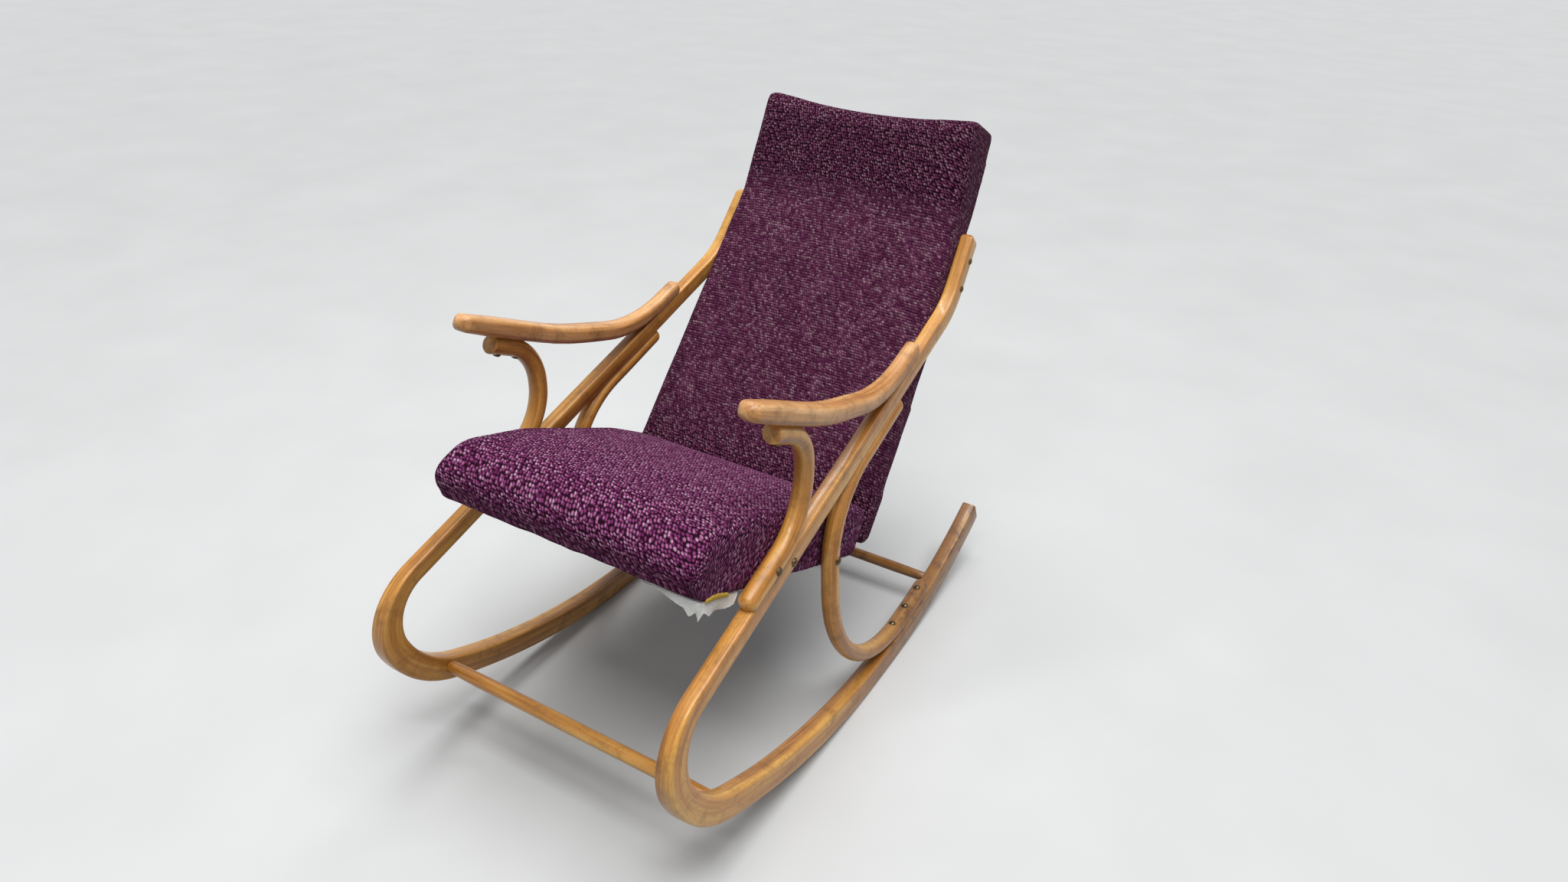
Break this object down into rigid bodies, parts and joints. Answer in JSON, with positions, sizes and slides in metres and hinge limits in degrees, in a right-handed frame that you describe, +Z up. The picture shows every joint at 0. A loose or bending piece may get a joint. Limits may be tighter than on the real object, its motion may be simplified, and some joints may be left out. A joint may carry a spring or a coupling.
{
  "type": "bentwood rocking chair",
  "caption": "Bentwood rocking chair with leaning bow side frames, scrolled arm supports and an upholstered seat and tall back.",
  "frame": {"origin": "on the floor under the middle of the bounding box", "axes": "+Z up, -Y the front of the chair, +X the sitter's left"},
  "size_m": [0.569, 1.0608, 0.8848],
  "materials": {
    "beech": "satin",
    "worn_beech": "satin",
    "frame_wood": "matte",
    "plum_tweed": "matte",
    "dust_cloth": "matte",
    "jute_webbing": "matte",
    "bronzed_steel": "satin"
  },
  "bodies": {
    "root": {"side_bow_left": "beech", "armrest_left": "worn_beech", "arm_support_left": "beech", "rear_support_left": "beech", "seat_side_rail_left": "frame_wood", "back_stile_left": "frame_wood", "seat_bolt_front_upper_left": "bronzed_steel", "seat_bolt_front_lower_left": "bronzed_steel", "seat_bolt_rear_left": "bronzed_steel", "back_screw_upper_left": "bronzed_steel", "back_screw_lower_left": "bronzed_steel", "rocker_lap_bolt_3_left": "bronzed_steel", "rocker_lap_bolt_2_left": "bronzed_steel", "rocker_lap_bolt_1_left": "bronzed_steel", "arm_support_screw_1_left": "bronzed_steel", "arm_support_screw_2_left": "bronzed_steel", "armrest_rear_screw_left": "bronzed_steel", "rear_support_screw_1_left": "bronzed_steel", "rear_support_screw_2_left": "bronzed_steel", "side_bow_right": "beech", "armrest_right": "worn_beech", "arm_support_right": "beech", "rear_support_right": "beech", "seat_side_rail_right": "frame_wood", "back_stile_right": "frame_wood", "seat_bolt_front_upper_right": "bronzed_steel", "seat_bolt_front_lower_right": "bronzed_steel", "seat_bolt_rear_right": "bronzed_steel", "back_screw_upper_right": "bronzed_steel", "back_screw_lower_right": "bronzed_steel", "rocker_lap_bolt_3_right": "bronzed_steel", "rocker_lap_bolt_2_right": "bronzed_steel", "rocker_lap_bolt_1_right": "bronzed_steel", "arm_support_screw_1_right": "bronzed_steel", "arm_support_screw_2_right": "bronzed_steel", "armrest_rear_screw_right": "bronzed_steel", "rear_support_screw_1_right": "bronzed_steel", "rear_support_screw_2_right": "bronzed_steel", "front_stretcher": "beech", "rear_stretcher": "beech", "seat_front_rail": "frame_wood", "seat_rear_rail": "frame_wood", "seat_webbing_1": "jute_webbing", "seat_webbing_2": "jute_webbing", "seat_webbing_3": "jute_webbing", "seat_webbing_4": "jute_webbing", "seat_cushion": "plum_tweed", "seat_dust_cover": "dust_cloth", "back_top_rail": "frame_wood", "back_bottom_rail": "frame_wood", "back_board": "frame_wood", "back_webbing_1": "jute_webbing", "back_webbing_2": "jute_webbing", "back_webbing_3": "jute_webbing", "back_cushion": "plum_tweed", "back_cover_panel": "plum_tweed"}
  },
  "joints": []
}
